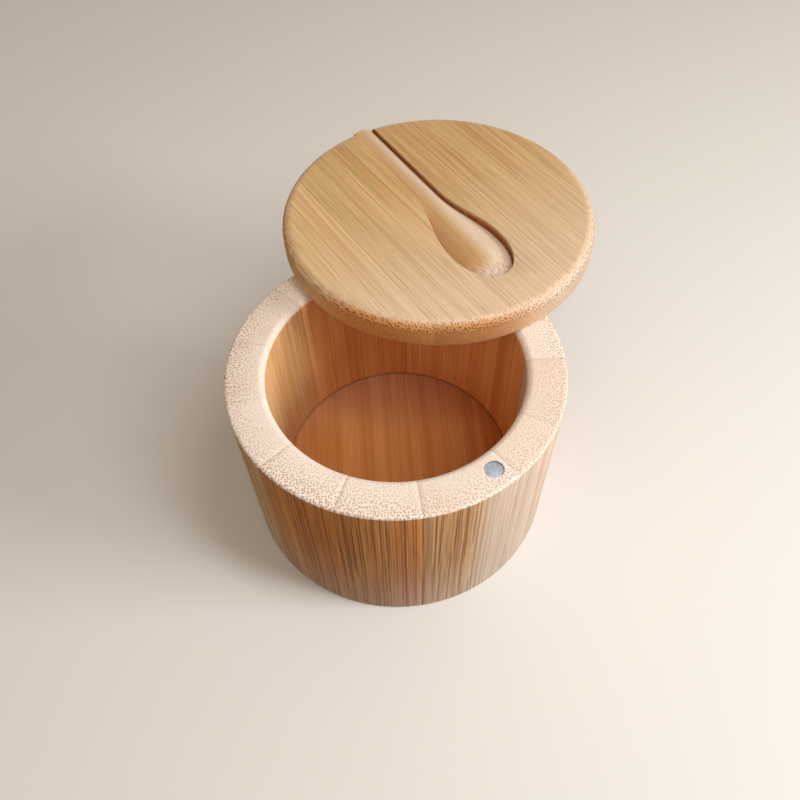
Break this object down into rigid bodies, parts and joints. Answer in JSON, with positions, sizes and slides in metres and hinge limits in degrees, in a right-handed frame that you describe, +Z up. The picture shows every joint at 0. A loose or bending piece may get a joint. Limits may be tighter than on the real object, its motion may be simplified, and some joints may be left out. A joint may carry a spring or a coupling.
{
  "type": "bamboo salt box",
  "caption": "Round bamboo salt box with a flat lid that swivels on an upright pin, closing magnets, and a small spoon that lies in a recess in the lid.",
  "frame": {"origin": "centre of the box's underside, on the surface that it stands on", "axes": "+Z up along the wall's axis; the lid is swung open towards +Y, as in the picture, so -Y faces the viewer and +X is to the viewer's right"},
  "size_m": [0.1025, 0.1393, 0.0629],
  "materials": {
    "wall_bamboo": "oiled, vertical grain, end grain on the rim",
    "floor_bamboo": "oiled, flat grain",
    "lid_bamboo": "oiled, flat grain",
    "spoon_bamboo": "sanded smooth",
    "magnet_nickel": "satin nickel plating",
    "pin_steel": "turned"
  },
  "bodies": {
    "box": {"stave_1": "wall_bamboo", "stave_2": "wall_bamboo", "stave_3": "wall_bamboo", "stave_4": "wall_bamboo", "stave_5": "wall_bamboo", "stave_6": "wall_bamboo", "stave_7": "wall_bamboo", "stave_8": "wall_bamboo", "stave_9": "wall_bamboo", "stave_10": "wall_bamboo", "stave_11": "wall_bamboo", "stave_12": "wall_bamboo", "stave_13": "wall_bamboo", "base_disc": "floor_bamboo", "rim_magnet": "magnet_nickel", "pivot_pin": "pin_steel"},
    "lid": {"lid_strip_1": "lid_bamboo", "lid_strip_2": "lid_bamboo", "lid_strip_3": "lid_bamboo", "lid_strip_4": "lid_bamboo", "lid_strip_5": "lid_bamboo", "lid_magnet": "magnet_nickel"},
    "spoon": {"spoon": "spoon_bamboo"}
  },
  "joints": [
    {"name": "lid_swivel", "type": "hinge", "parent": "box", "child": "lid", "pos_m": [-0.02119, 0.03262, 0.0548], "axis": [0, 0, 1], "continuous": true},
    {"name": "spoon_lift", "type": "slide", "parent": "lid", "child": "spoon", "axis": [0, 0, 1], "range_m": [0, 0.03]}
  ]
}
